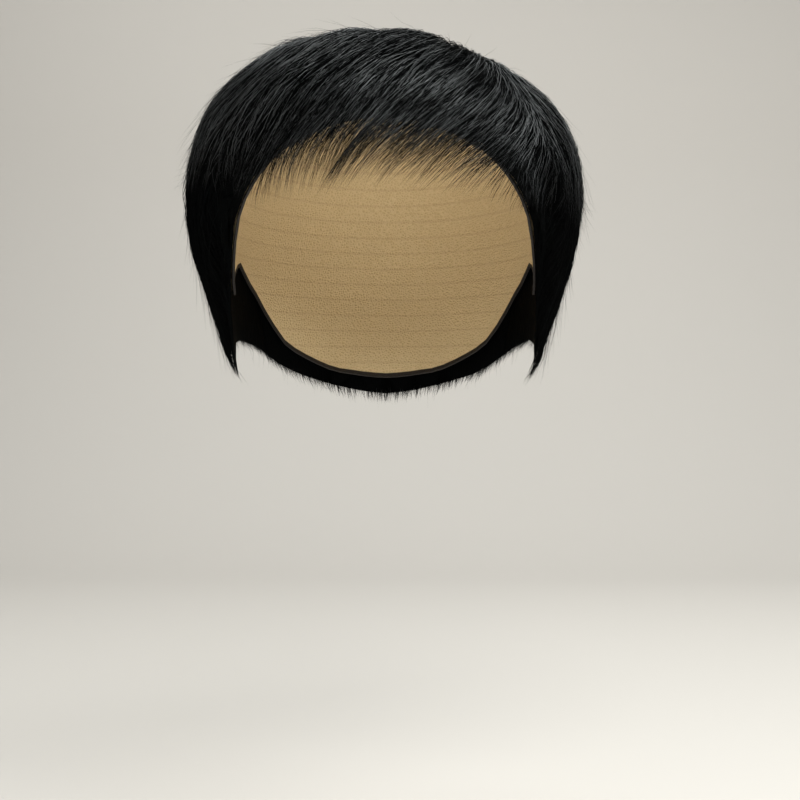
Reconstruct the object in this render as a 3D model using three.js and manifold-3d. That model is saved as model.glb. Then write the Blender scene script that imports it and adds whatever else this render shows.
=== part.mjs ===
// A short, side-parted wig of real hair: a hollow cap and six sections of hair that are fixed to it.
// Millimetres, +Z up. The face looks towards -Y, and left and right are the wearer's, so left is +X.
// The origin is the seat of the crown: the point inside the cap that rests on the top of the head.
import * as THREE from "three";
import { mergeVertices } from "three/addons/utils/BufferGeometryUtils.js";
import Module from "manifold-3d";

const wasm = await Module();
wasm.setup();

// Driving sizes
const HEAD_DEPTH = 85; // from the crown down to the middle of the head
const CAP_WALL = 1.2; // knitted cap
const CAP_GAP = 0.9; // clear space between the cap and the hair
const SEAM_GAP = 0.4; // clear space between sections of hair
const THINNEST_HAIR = 1.2; // backing of the hair at its hems
const HEM_ROLL = 6; // degrees above a hem in which the hair rolls in towards the head
const LOCK_RISE = 3.5; // how far the ridge of a lock stands out of its backing
const LOCK_EDGE = 1.2; // how far its edges are sunk
const LOCK = { width: 25, length: 84 };
const LOCK_COUNT = 76; // roots on the whole ball, of which the dressed part keeps about half
const SHORTEST_LOCK = 26;
const FRINGE_LOCK = { width: 10, length: 62 };
const FRINGE_ROOTS = { first: -44, last: 44, count: 13, aboveHem: 15 }; // azimuths, and degrees above the hem
const SMALLEST_DETAIL = 0.25;
const MIDDLE = new THREE.Vector3(0, 0, -HEAD_DEPTH);

// Reach of the bare head from its middle, by elevation in degrees: straight ahead, to each side and to the back.
const HEAD_FORM = [
  { elevation: -60, front: 150, side: 142, back: 132 },
  { elevation: -45, front: 124, side: 105, back: 107.5 },
  { elevation: -30, front: 101, side: 88, back: 104 },
  { elevation: -15, front: 91, side: 81, back: 103.5 },
  { elevation: 0, front: 88.5, side: 79, back: 103 },
  { elevation: 15, front: 90, side: 78.5, back: 104 },
  { elevation: 30, front: 91.5, side: 78.5, back: 102 },
  { elevation: 45, front: 91, side: 80, back: 98 },
  { elevation: 60, front: 89, side: 82, back: 93 },
  { elevation: 75, front: 86.5, side: 84, back: 88 },
  { elevation: 90, front: 85, side: 85, back: 85 },
];

// Reach of the dressed hair, in the same way, with its two sides told apart.
const HAIR_FORM = [
  { elevation: -60, front: 156, left: 146, back: 137, right: 146 },
  { elevation: -45, front: 130, left: 107, back: 114, right: 107 },
  { elevation: -30, front: 107, left: 99.5, back: 113.5, right: 101.5 },
  { elevation: -15, front: 96, left: 99, back: 116, right: 98.5 },
  { elevation: 0, front: 94.5, left: 101.5, back: 119.5, right: 102 },
  { elevation: 15, front: 100, left: 105.5, back: 121.5, right: 105.5 },
  { elevation: 30, front: 105, left: 107, back: 120, right: 108.5 },
  { elevation: 45, front: 106.5, left: 105.5, back: 115.5, right: 109 },
  { elevation: 60, front: 103, left: 101, back: 108.5, right: 104.5 },
  { elevation: 75, front: 99, left: 97.5, back: 102, right: 100 },
  { elevation: 90, front: 97, left: 97, back: 97, right: 97 },
];

// Lower edges by azimuth, in degrees from straight ahead, the same on both sides, each as an elevation:
// the rim of the cap, the hem where the hair is still dense, and the points of its locks.
const EDGES = [
  { azimuth: 0, rim: 26, hem: 18.8, tips: 4 },
  { azimuth: 14, rim: 25, hem: 17.3, tips: 3 },
  { azimuth: 24, rim: 22.5, hem: 15, tips: 2 },
  { azimuth: 34, rim: 19.5, hem: 12.3, tips: 0.5 },
  { azimuth: 42, rim: 15.5, hem: 9, tips: -1 },
  { azimuth: 48, rim: 11.5, hem: 6, tips: -3 },
  { azimuth: 54, rim: 6.5, hem: 1.5, tips: -7 },
  { azimuth: 60, rim: 0, hem: -4.5, tips: -12 },
  { azimuth: 65, rim: -8, hem: -14, tips: -20 },
  { azimuth: 70, rim: -15, hem: -25, tips: -30 },
  { azimuth: 76, rim: -22, hem: -37, tips: -41 },
  { azimuth: 80, rim: -25, hem: -47.5, tips: -50.5 },
  { azimuth: 84, rim: -25, hem: -43.5, tips: -46.5 },
  { azimuth: 90, rim: -19, hem: -39, tips: -41.5 },
  { azimuth: 104, rim: -12, hem: -37, tips: -40 },
  { azimuth: 120, rim: -22, hem: -38, tips: -41 },
  { azimuth: 136, rim: -37, hem: -43, tips: -46 },
  { azimuth: 158, rim: -44, hem: -47, tips: -51 },
  { azimuth: 180, rim: -45, hem: -49, tips: -53 },
];

// Where the sections of hair meet, as directions from the middle of the head.
const CORNERS = {
  whorl: [153, 59], // the crown, where the hair turns outwards
  parting_front: [38, 45],
  left_temple: [57, 2],
  left_ear: [122, 8],
  right_temple: [-50, 8],
  right_ear: [-122, 10],
  left_nape: [128, -70],
  right_nape: [-128, -70],
  left_face: [44, -70],
  right_face: [-44, -70],
};

const radians = THREE.MathUtils.degToRad;
const { lerp, smoothstep } = THREE.MathUtils;

function direction(azimuth, elevation) {
  const [a, e] = [radians(azimuth), radians(elevation)];
  return new THREE.Vector3(Math.sin(a) * Math.cos(e), -Math.cos(a) * Math.cos(e), Math.sin(e));
}

function azimuthOf(d) {
  return THREE.MathUtils.radToDeg(Math.atan2(d.x, -d.y));
}

function elevationOf(d) {
  return THREE.MathUtils.radToDeg(Math.asin(THREE.MathUtils.clamp(d.z, -1, 1)));
}

// A smooth curve through the columns of a table, read at a value of its first column.
function tableCurve(rows, along, columns) {
  const places = rows.map((row) => row[along]);
  const values = rows.flatMap((row) => columns.map((column) => row[column]));
  const curve = new THREE.CubicInterpolant(places, values, columns.length);
  return (place) => Array.from(curve.evaluate(place));
}

const headColumns = tableCurve(HEAD_FORM, "elevation", ["front", "side", "back", "side"]);
const hairColumns = tableCurve(HAIR_FORM, "elevation", ["front", "left", "back", "right"]);
const edgeColumns = tableCurve(EDGES, "azimuth", ["rim", "hem", "tips"]);

// Each level of a form is a quarter ellipse from one column to the next.
function formReach(columns, d) {
  const [front, left, back, right] = columns(elevationOf(d));
  const level = Math.hypot(d.x, d.y) || 1;
  const lengthwise = d.y / level / (d.y < 0 ? front : back);
  const crosswise = d.x / level / (d.x > 0 ? left : right);
  return d.x || d.y ? 1 / Math.hypot(lengthwise, crosswise) : front;
}

const headReach = (d) => formReach(headColumns, d);
const hairReach = (d) => formReach(hairColumns, d);
const capReach = (d) => headReach(d) + CAP_WALL;
const rootReach = (d) => capReach(d) + CAP_GAP;

// The outer face of the backing, which the locks stand out of: it rolls in towards the head along the hem.
function backingReach(d) {
  const aboveHem = elevationOf(d) - edgeAt(d).hem;
  const thin = rootReach(d) + THINNEST_HAIR;
  const full = Math.max(hairReach(d) - LOCK_RISE, thin);
  return lerp(thin, full, smoothstep(aboveHem, 0, HEM_ROLL));
}

const at = (d, reach) => MIDDLE.clone().addScaledVector(d, reach);

function edgeAt(d) {
  const [rim, hem, tips] = edgeColumns(Math.abs(azimuthOf(d)));
  return { rim, hem, tips };
}

// Solids from points and triangles, and back.
function solidFrom(points, triangles) {
  const geometry = new THREE.BufferGeometry().setFromPoints(points);
  geometry.setIndex(triangles);
  const merged = mergeVertices(geometry, 1e-4);
  const corners = { vertProperties: merged.attributes.position.array, triVerts: new Uint32Array(merged.index.array) };
  return new wasm.Manifold(new wasm.Mesh({ numProp: 3, ...corners }));
}

function geometryFrom(solid) {
  const { vertProperties, triVerts } = solid.getMesh();
  const geometry = new THREE.BufferGeometry();
  geometry.setAttribute("position", new THREE.BufferAttribute(vertProperties, 3));
  geometry.setIndex(new THREE.BufferAttribute(triVerts, 1));
  const flat = geometry.toNonIndexed();
  flat.computeVertexNormals();
  return flat;
}

// A hollow dome about the middle of the head. Its inner and outer walls follow two reaches on a grid of azimuths and
// levels, and meet in a lip. Each level is a function that turns an azimuth into an elevation, from the top down.
function dome(azimuths, levels, inner, outer) {
  const top = direction(0, 90);
  const columns = azimuths.length;
  const wall = columns * levels.length + 1;
  const points = [inner, outer].flatMap((reach) => [
    at(top, reach(top)),
    ...levels.flatMap((level) =>
      azimuths.map((azimuth) => {
        const d = direction(azimuth, level(azimuth));
        return at(d, reach(d));
      }),
    ),
  ]);
  const index = (level, column) => 1 + level * columns + (column % columns);
  const triangles = [];
  const both = (a, b, c) => triangles.push(a, c, b, a + wall, b + wall, c + wall);
  const lip = levels.length - 1;
  for (let column = 0; column < columns; column += 1) {
    both(0, index(0, column), index(0, column + 1));
    for (let level = 0; level < lip; level += 1) {
      const [a, b] = [index(level, column), index(level, column + 1)];
      const [c, d] = [index(level + 1, column), index(level + 1, column + 1)];
      both(a, c, d);
      both(a, d, b);
    }
    const [a, b] = [index(lip, column), index(lip, column + 1)];
    triangles.push(a, b, b + wall, a, b + wall, a + wall);
  }
  return solidFrom(points, triangles);
}

// The grid that the cap and the backing of the hair share, so that they stay the same distance apart.
const GRID_STEP = 12;
const LOWEST_LEVEL = -60;
const gridAzimuths = Array.from({ length: 360 / GRID_STEP }, (_, i) => i * GRID_STEP - 180);
const gridLevels = [];
for (let level = 90 - GRID_STEP; level > LOWEST_LEVEL - GRID_STEP; level -= GRID_STEP) gridLevels.push(() => level);
const shell = (inner, outer) => dome(gridAzimuths, gridLevels, inner, outer);

// All the space above one of the edges, which trims a shell along it.
function spaceAbove(edge) {
  const [nearest, farthest] = [20, 290];
  const half = EDGES.map((row) => row.azimuth);
  const azimuths = [...half, ...half.slice(1, -1).reverse().map((azimuth) => -azimuth)];
  const edgeOf = (azimuth) => edgeAt(direction(azimuth, 0))[edge];
  const levels = [0.25, 0.5, 0.75, 1].map((share) => (azimuth) => lerp(90, edgeOf(azimuth), share));
  return dome(azimuths, levels, () => nearest, () => farthest);
}

// The way that the hair is combed, as a tangent at a direction from the middle of the head: away from the parting
// and forwards on top, and straight down at the bottom. Left of the parting it turns down at once.
const named = (name) => direction(...CORNERS[name]);
const PARTING = [named("whorl"), named("parting_front"), named("left_temple")];
const LEFTWARDS = direction(130, 0); // square to the front of the parting

function nearestOnParting(d) {
  const candidates = PARTING.slice(1).map((end, i) => {
    const nearest = new THREE.Vector3();
    new THREE.Line3(PARTING[i], end).closestPointToPoint(d, true, nearest);
    return nearest.normalize();
  });
  return candidates.reduce((a, b) => (a.distanceTo(d) <= b.distanceTo(d) ? a : b));
}

function combed(d) {
  const away = d.clone().sub(nearestOnParting(d));
  const spread = away.length();
  const lower = 1 - smoothstep(d.z, -0.5, 0.75);
  const lowest = 1 - smoothstep(d.z, -0.3, 0.3);
  const left = smoothstep(d.dot(LEFTWARDS), -0.12, 0.44);
  const fall = 0.25 + 0.8 * lowest + left * (3.8 + 4 * lower);
  const ahead = 1.4 * smoothstep(d.z, 0.5, 0.9) * (1 - left);
  const pull = (1 - 0.7 * lowest) / Math.max(spread, 1e-6);
  const way = away.multiplyScalar(pull).add(new THREE.Vector3(0, -ahead, -fall));
  return way.addScaledVector(d, -way.dot(d)).normalize();
}

// The course of a lock from its root to its point: directions, evenly spaced, that stop at the tips of the hem.
function lockCourse(root, length, stations) {
  const steps = 26;
  const course = [root.clone()];
  while (course.length <= steps) {
    const last = course[course.length - 1];
    const step = length / steps / hairReach(last);
    const next = last.clone().addScaledVector(combed(last), step).normalize();
    if (elevationOf(next) < edgeAt(next).tips) break;
    course.push(next);
  }
  if (((course.length - 1) / steps) * length < SHORTEST_LOCK) return null;
  return Array.from({ length: stations }, (_, i) => {
    const place = (i / (stations - 1)) * (course.length - 1);
    const before = Math.min(Math.floor(place), course.length - 2);
    return course[before].clone().lerp(course[before + 1], place - before).normalize();
  });
}

// One lock: a ridged strip, low and narrow at its root, full at a third of its length, and drawn out to a point.
// Its underside lies half-way into the backing.
function lock({ root, width: fullWidth, length }) {
  const stations = 6;
  const course = lockCourse(root, length, stations);
  if (!course) return null;
  const points = [];
  const triangles = [];
  course.forEach((d, i) => {
    const share = i / (stations - 1);
    const full = smoothstep(share, -0.25, 0.35);
    const thin = 1 - smoothstep(share, 0.35, 1.02);
    const width = (fullWidth / 2) * full * lerp(0.06, 1, thin);
    const floor = lerp(rootReach(d), backingReach(d), 0.5);
    const edge = Math.max(backingReach(d) - LOCK_EDGE, floor + THINNEST_HAIR / 3);
    const ridge = edge + (LOCK_EDGE + LOCK_RISE) * full * lerp(0.35, 1, thin);
    const along = course[Math.min(i + 1, stations - 1)].clone().sub(course[Math.max(i - 1, 0)]);
    const across = along.cross(d).normalize().multiplyScalar(width);
    const corner = (sideways, reach) => at(d, reach).addScaledVector(across, sideways);
    points.push(corner(-1, edge), corner(-1, floor), corner(1, floor), corner(1, edge), corner(0, ridge));
  });
  const sides = 5;
  for (let i = 0; i < stations - 1; i += 1) {
    for (let side = 0; side < sides; side += 1) {
      const [a, b] = [i * sides + side, i * sides + ((side + 1) % sides)];
      triangles.push(a, b + sides, b, a, a + sides, b + sides);
    }
  }
  const last = (stations - 1) * sides;
  for (let side = 1; side < sides - 1; side += 1) {
    triangles.push(0, side, side + 1, last, last + side + 1, last + side);
  }
  return solidFrom(points, triangles);
}

// The locks: spread evenly on a spiral, where there is room above the hem, and in one close row along the fringe.
function lockList() {
  const golden = 180 * (3 - Math.sqrt(5));
  const list = [];
  for (let i = 0; i < LOCK_COUNT; i += 1) {
    const height = 1 - (2 * (i + 0.5)) / LOCK_COUNT;
    const azimuth = THREE.MathUtils.euclideanModulo(i * golden + 180, 360) - 180;
    const root = direction(azimuth, THREE.MathUtils.radToDeg(Math.asin(height)));
    if (elevationOf(root) > edgeAt(root).hem) list.push({ root, ...LOCK });
  }
  const { first, last, count, aboveHem } = FRINGE_ROOTS;
  for (let i = 0; i < count; i += 1) {
    const azimuth = lerp(first, last, i / (count - 1));
    const elevation = edgeAt(direction(azimuth, 0)).hem + aboveHem;
    list.push({ root: direction(azimuth, elevation), ...FRINGE_LOCK });
  }
  return list;
}

// A seam between two sections: great-circle steps from corner to corner, which a layered hem takes in a zigzag.
function seam(from, to, { steps = 8, zigzag = 0 } = {}) {
  const [start, end] = [named(from), named(to)];
  const angle = start.angleTo(end);
  const sideways = start.clone().cross(end).normalize();
  return Array.from({ length: steps + 1 }, (_, i) => {
    const d = start.clone().applyAxisAngle(sideways, (i / steps) * angle);
    const shift = i === 0 || i === steps ? 0 : (i % 2 ? 1 : -1) * radians(zigzag);
    return d.addScaledVector(sideways, shift).normalize();
  });
}

const LAYERED = { steps: 10, zigzag: 2.5 };
const SEAMS = {
  parting: seam("parting_front", "whorl"),
  fringe_top: seam("right_temple", "parting_front"),
  left_forelock: seam("left_temple", "parting_front"),
  left_hem: seam("left_temple", "left_ear", LAYERED),
  right_hem: seam("right_ear", "right_temple", LAYERED),
  left_back: seam("left_ear", "whorl"),
  right_back: seam("whorl", "right_ear"),
  left_cheek: seam("left_face", "left_temple"),
  right_cheek: seam("right_temple", "right_face"),
  left_neck: seam("left_nape", "left_ear"),
  right_neck: seam("right_ear", "right_nape"),
  left_jaw: seam("left_face", "left_nape"),
  right_jaw: seam("right_nape", "right_face"),
  chin: seam("right_face", "left_face"),
  collar: seam("right_nape", "left_nape"),
};
const turned = (name) => [...SEAMS[name]].reverse();

// Each section's seams in order, anticlockwise as seen from outside, and a direction in its middle.
const SECTIONS = {
  top_hair: {
    middle: [-75, 62],
    outline: [SEAMS.parting, SEAMS.right_back, SEAMS.right_hem, SEAMS.fringe_top],
  },
  fringe: {
    middle: [2, 20],
    outline: [SEAMS.chin, SEAMS.left_cheek, SEAMS.left_forelock, turned("fringe_top"), SEAMS.right_cheek],
  },
  parted_hair: {
    middle: [92, 36],
    outline: [SEAMS.left_hem, SEAMS.left_back, turned("parting"), turned("left_forelock")],
  },
  left_side_hair: {
    middle: [84, -28],
    outline: [SEAMS.left_jaw, SEAMS.left_neck, turned("left_hem"), turned("left_cheek")],
  },
  right_side_hair: {
    middle: [-84, -28],
    outline: [SEAMS.right_jaw, turned("right_cheek"), turned("right_hem"), SEAMS.right_neck],
  },
  back_hair: {
    middle: [180, 0],
    outline: [SEAMS.collar, turned("right_neck"), turned("right_back"), turned("left_back"), turned("left_neck")],
  },
};

// The space that a section takes: a cone from the middle of the head over its outline. It is moved outwards along
// its own middle, so that it keeps a small gap to its neighbours.
function sectionSpace({ middle, outline }) {
  const far = 270;
  const ring = outline.flatMap((line) => line.slice(0, -1));
  const axis = direction(...middle);
  const points = [MIDDLE, at(axis, far), ...ring.map((d) => at(d, far))];
  const triangles = ring.flatMap((_, i) => {
    const [a, b] = [i + 2, ((i + 1) % ring.length) + 2];
    return [0, b, a, 1, a, b];
  });
  const shift = axis.multiplyScalar(2 * SEAM_GAP);
  return solidFrom(points, triangles).translate([shift.x, shift.y, shift.z]);
}

// The outer skin of a solid's main body: without slivers, crumbs that the cuts leave, or pockets under the locks.
function mainBody(solid) {
  const { vertProperties, triVerts } = solid.simplify(SMALLEST_DETAIL).getMesh();
  const skins = new wasm.Manifold(new wasm.Mesh({ numProp: 3, vertProperties, triVerts })).decompose();
  return skins.reduce((a, b) => (a.volume() >= b.volume() ? a : b));
}

const backing = shell(rootReach, backingReach).intersect(spaceAbove("hem"));
const locks = lockList().map(lock).filter(Boolean);
const hair = wasm.Manifold.union([backing, ...locks]);

const FINISHES = {
  cap: { color: 0xc8aa8c, roughness: 0.9, metalness: 0 },
  hair: { color: 0x0d0d0e, roughness: 0.42, metalness: 0 },
};

function piece(name, solid, finish) {
  const mesh = new THREE.Mesh(geometryFrom(solid), new THREE.MeshStandardMaterial(finish));
  mesh.name = name;
  return mesh;
}

const wig = new THREE.Group();
const cap = shell(headReach, capReach).intersect(spaceAbove("rim"));
wig.add(piece("cap", mainBody(cap), FINISHES.cap));
for (const [name, section] of Object.entries(SECTIONS)) {
  wig.add(piece(name, mainBody(hair.intersect(sectionSpace(section))), FINISHES.hair));
}
export default wig;
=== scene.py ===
# %% [markdown]
# # A short black wig of real hair
# The real object is a knitted cap with many thousand hairs tied into it, cut short and combed from a
# side parting. The solids give its size, its sections and its outer form. Here each section becomes
# what it is on the real wig: a dark mat close to the cap, and loose strands that follow the comb over
# it.

# %% Load the fixed frame
import math

import bmesh
import bpy
import numpy as np
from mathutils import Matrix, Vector
from mathutils.bvhtree import BVHTree


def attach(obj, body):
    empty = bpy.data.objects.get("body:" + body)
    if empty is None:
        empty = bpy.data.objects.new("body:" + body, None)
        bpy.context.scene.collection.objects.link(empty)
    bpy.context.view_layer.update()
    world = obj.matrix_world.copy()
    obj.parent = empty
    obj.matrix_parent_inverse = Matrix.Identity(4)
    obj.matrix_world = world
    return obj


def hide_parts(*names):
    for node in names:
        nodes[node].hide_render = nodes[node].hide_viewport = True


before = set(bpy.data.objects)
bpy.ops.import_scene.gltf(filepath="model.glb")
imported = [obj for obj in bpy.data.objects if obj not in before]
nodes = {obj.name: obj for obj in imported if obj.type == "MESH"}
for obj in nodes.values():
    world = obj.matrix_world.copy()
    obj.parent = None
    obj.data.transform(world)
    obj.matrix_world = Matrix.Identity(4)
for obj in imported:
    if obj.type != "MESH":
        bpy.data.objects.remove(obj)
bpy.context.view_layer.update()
bpy.ops.object.select_all(action="DESELECT")
print("solids:", ", ".join(sorted(nodes)))

# %% [markdown]
# ## Directions from the middle of the cap
# Hair grows all round the cap, so every place on the wig is easiest to name as a direction from the
# middle of its hollow: an azimuth, which is 0 straight ahead and grows towards the wearer's left, and
# an elevation above the horizon. Working on whole arrays of directions keeps tens of thousands of
# strands quick.

# %% Turn angles into directions and back
MIDDLE_DEPTH = 0.085  # from the origin, which is inside the crown, down to the middle of the hollow
MIDDLE = np.array((0.0, 0.0, -MIDDLE_DEPTH))
DOWN, AHEAD = np.array((0.0, 0.0, -1.0)), np.array((0.0, -1.0, 0.0))
SHORTEST_LENGTH = 1e-9  # keeps a division by zero away


def direction(azimuth, elevation):
    a, e = np.radians(azimuth), np.radians(elevation)
    return np.stack([np.sin(a) * np.cos(e), -np.cos(a) * np.cos(e), np.sin(e) + 0 * a], axis=-1)


def azimuth_of(d):
    return np.degrees(np.arctan2(d[..., 0], -d[..., 1]))


def elevation_of(d):
    return np.degrees(np.arcsin(np.clip(d[..., 2], -1, 1)))


def unit(v):
    return v / np.maximum(np.linalg.norm(v, axis=-1, keepdims=True), SHORTEST_LENGTH)


def dot(a, b):
    return np.sum(a * b, axis=-1, keepdims=True)


def smoothstep(value, low, high):
    share = np.clip((value - low) / (high - low), 0, 1)
    return share * share * (3 - 2 * share)


print("straight ahead is", direction(0, 0))

# %% [markdown]
# ## Measure the solids
# The strands have to keep the form of the solids that they replace. A ray from the middle tells where a
# section's inner face lies and which section it is, and a ray from outside tells where its outer face
# lies. Kept in a table of azimuths and elevations, both can be read for any direction.

# %% Cast the rays
HAIR_NODES = ["top_hair", "fringe", "parted_hair", "left_side_hair", "right_side_hair", "back_hair"]
AZIMUTH_STEP, ELEVATION_STEP = 4, 3
LOWEST_ELEVATION = -57  # a little below the nape
FAR_OUT = 0.4  # metres from the middle, well outside the hair
table_azimuths = np.arange(-180, 181, AZIMUTH_STEP)
table_elevations = np.arange(LOWEST_ELEVATION, 91, ELEVATION_STEP)


def tree_of(names):
    points, faces, owners = [], [], []
    for name in names:
        mesh = nodes[name].data
        first = len(points)
        points.extend(v.co.copy() for v in mesh.vertices)
        for face in mesh.polygons:
            faces.append([first + i for i in face.vertices])
            owners.append(name)
    return BVHTree.FromPolygons(points, faces), owners


def cast_table(names):
    tree, owners = tree_of(names)
    middle = Vector(MIDDLE)
    shape = (len(table_azimuths), len(table_elevations))
    inner, outer = np.full(shape, np.nan), np.full(shape, np.nan)
    owner = np.full(shape, "", dtype=object)
    for i, azimuth in enumerate(table_azimuths):
        for j, elevation in enumerate(table_elevations):
            way = Vector(direction(azimuth, elevation))
            _, _, face, reach = tree.ray_cast(middle, way)
            if face is None:
                continue
            inner[i, j], owner[i, j] = reach, owners[face]
            outer[i, j] = FAR_OUT - tree.ray_cast(middle + way * FAR_OUT, -way)[3]
    return inner, outer, owner


hair_inner, hair_outer, hair_owner = cast_table(HAIR_NODES)
_, cap_outer, _ = cast_table(["cap"])
print("rays that met hair:", int(np.isfinite(hair_inner).sum()), "of", hair_inner.size)

# %% [markdown]
# Rays through a seam or under a hem meet nothing. Those places take the mean of their neighbours, again
# and again, until the table is full. The outer face takes the highest of its neighbours, and every
# table is smoothed, because the solids' locks are much broader than a strand.

# %% Fill and smooth the tables


def neighbours(table):
    wrapped = np.concatenate([table[-2:-1], table, table[1:2]])
    padded = np.pad(wrapped, ((0, 0), (1, 1)), mode="edge")
    columns, rows = table.shape
    return np.stack([padded[i : i + columns, j : j + rows] for i in range(3) for j in range(3)])


def filled(table):
    table = table.copy()
    while np.isnan(table).any():
        around = neighbours(table)
        known = np.isfinite(around).sum(axis=0)
        mean = np.nansum(around, axis=0) / np.maximum(known, 1)
        take = np.isnan(table) & (known > 0)
        table[take] = mean[take]
    return table


def smoothed(table, times):
    for _ in range(times):
        table = neighbours(table).mean(axis=0)
    return table


scalp_table = smoothed(filled(hair_inner), 1)
crown_table = smoothed(neighbours(filled(hair_outer)).max(axis=0), 2)
cap_table = smoothed(filled(cap_outer), 1)


def read(table, d):
    column = (azimuth_of(d) + 180) / AZIMUTH_STEP
    row = (elevation_of(d) - LOWEST_ELEVATION) / ELEVATION_STEP
    i = np.clip(column.astype(int), 0, table.shape[0] - 2)
    j = np.clip(row.astype(int), 0, table.shape[1] - 2)
    u, v = np.clip(column - i, 0, 1), np.clip(row - j, 0, 1)
    low = table[i, j] * (1 - u) + table[i + 1, j] * u
    high = table[i, j + 1] * (1 - u) + table[i + 1, j + 1] * u
    return low * (1 - v) + high * v


top_thickness = float(read(crown_table - scalp_table, direction(0, 90)))
print("hair at the top:", round(top_thickness * 1000, 1), "mm thick")

# %% [markdown]
# ## The camera
# The photograph looks level at the front from about 0.7 m, with the wig in the upper half of its frame.
# A camera is placed by these few sizes, with a lens worked out from its focal length in pixels, so
# nothing is shifted or tilted.

# %% Place the camera
FRAME_PIXELS = 800
FOCAL_PIXELS = 1333
SENSOR_WIDTH = 36  # millimetres
CAMERA_PLACE = (0.008, -0.688, -0.174)

bpy.ops.object.camera_add(location=CAMERA_PLACE, rotation=(math.radians(90), 0, 0))
camera = bpy.context.object
camera.name = "photo_camera"
camera.data.sensor_width = SENSOR_WIDTH
camera.data.lens = SENSOR_WIDTH * FOCAL_PIXELS / FRAME_PIXELS
bpy.context.scene.camera = camera
print("lens:", round(camera.data.lens, 1), "mm")

# %% [markdown]
# ## A pale sweep behind it
# A studio sweep is one sheet that runs along the floor and bends up into the wall, so no edge shows. A
# plane is added, its far edge is extruded upwards, and the fold is rounded with a bevel.

# %% Model the sweep
FLOOR_LEVEL = -0.40
SWEEP = {"width": 5.0, "front": -2.2, "back": 1.7, "height": 2.6, "bend": 0.7, "bend_segments": 16}
SWEEP_COLOUR = (0.53, 0.49, 0.455, 1)
NEAR = 0.01  # metres within which a point counts as lying on the far edge or on the floor


def select_edges(piece, wanted):
    mesh = bmesh.from_edit_mesh(piece.data)
    for edge in mesh.edges:
        edge.select = all(wanted(vertex.co) for vertex in edge.verts)
    bmesh.update_edit_mesh(piece.data)


def make_sweep():
    middle_y = (SWEEP["front"] + SWEEP["back"]) / 2
    bpy.ops.mesh.primitive_plane_add(size=1, location=(0, middle_y, FLOOR_LEVEL))
    sweep = bpy.context.object
    sweep.name = "studio_sweep"
    sweep.scale = (SWEEP["width"], SWEEP["back"] - SWEEP["front"], 1)
    bpy.ops.object.transform_apply(location=True, rotation=True, scale=True)
    bpy.ops.object.mode_set(mode="EDIT")
    bpy.ops.mesh.select_mode(type="EDGE")
    bpy.ops.mesh.select_all(action="DESELECT")
    far = SWEEP["back"] - NEAR
    select_edges(sweep, lambda place: place.y > far)
    bpy.ops.mesh.extrude_region_move(TRANSFORM_OT_translate={"value": (0, 0, SWEEP["height"])})
    select_edges(sweep, lambda place: place.y > far and place.z < FLOOR_LEVEL + NEAR)
    bpy.ops.mesh.bevel(offset=SWEEP["bend"], segments=SWEEP["bend_segments"])
    bpy.ops.object.mode_set(mode="OBJECT")
    bpy.ops.object.shade_smooth()
    return sweep


sweep = make_sweep()
print("sweep faces:", len(sweep.data.polygons))

# %% Give the sweep its pale paint
sweep_paint = bpy.data.materials.new("pale_sweep")
sweep_paint.use_nodes = True
sweep_shader = sweep_paint.node_tree.nodes["Principled BSDF"]
sweep_shader.inputs["Base Color"].default_value = SWEEP_COLOUR
sweep_shader.inputs["Roughness"].default_value = 0.9
sweep.data.materials.append(sweep_paint)
print("painted", sweep.name)

# %% [markdown]
# ## Soft light from above and in front
# In the photograph the top of the hair shines grey and the sides stay black. A strand sends light on
# like a thin cylinder: strands that lie across the view catch a high softbox, and strands that hang
# down don't. So a large key panel hangs high in front, towards the wearer's left, and a second one
# above the back of the crown lights the upper edge. A weak panel on the wearer's right opens up the
# darker side, and a low one stands for the light that a pale floor throws back, which reaches into the
# cap. One light is kept for the wall. All are slightly cool, as the shine in the photograph is, and a
# contrast look deepens the blacks.

# %% Hang the lights
LIGHTS = [
    # name, place, aim, size, watts
    ("key_panel", (0.7, -1.05, 0.95), (0, 0, -0.06), (2.2, 1.4), 55),
    ("back_panel", (0.2, 0.5, 1.25), (0, 0, -0.02), (2.0, 1.2), 17),
    ("side_panel", (-1.0, -0.9, 0.4), (0, 0, -0.05), (1.0, 1.0), 5),
    ("floor_bounce", (0, -0.42, -0.385), (0, -0.42, 1), (0.7, 0.7), 2),
    ("wall_wash", (0, 0.7, 1.5), (0, 1.7, 0.2), (1.2, 1.2), 3),
]
LIGHT_COLOUR = (0.95, 1.0, 0.995)
ROOM_COLOUR, ROOM_STRENGTH = (0.92, 0.95, 1.0, 1), 0.05


def hang_light(name, place, aim, size, watts):
    bpy.ops.object.light_add(type="AREA", location=place)
    light = bpy.context.object
    light.name = name
    light.rotation_euler = (Vector(aim) - Vector(place)).to_track_quat("-Z", "Y").to_euler()
    light.data.shape = "RECTANGLE"
    light.data.size, light.data.size_y = size
    light.data.energy = watts
    light.data.color = LIGHT_COLOUR
    return light


lights = [hang_light(*row) for row in LIGHTS]
room = bpy.data.worlds.new("studio_room")
room.use_nodes = True
room.node_tree.nodes["Background"].inputs["Color"].default_value = ROOM_COLOUR
room.node_tree.nodes["Background"].inputs["Strength"].default_value = ROOM_STRENGTH
bpy.context.scene.world = room
bpy.context.scene.view_settings.view_transform = "Standard"
bpy.context.scene.view_settings.look = "Medium High Contrast"
print("lights:", len(lights))

# %% [markdown]
# ## The lower edges
# The cut edges decide where the strands stop. Each row gives, at an azimuth, the rim of the cap, the
# hem where the hair is still dense, and the level that its longest tips reach, all as elevations. The
# sideburns are the deep points near 80 degrees. The edges are the same on both sides.

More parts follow.
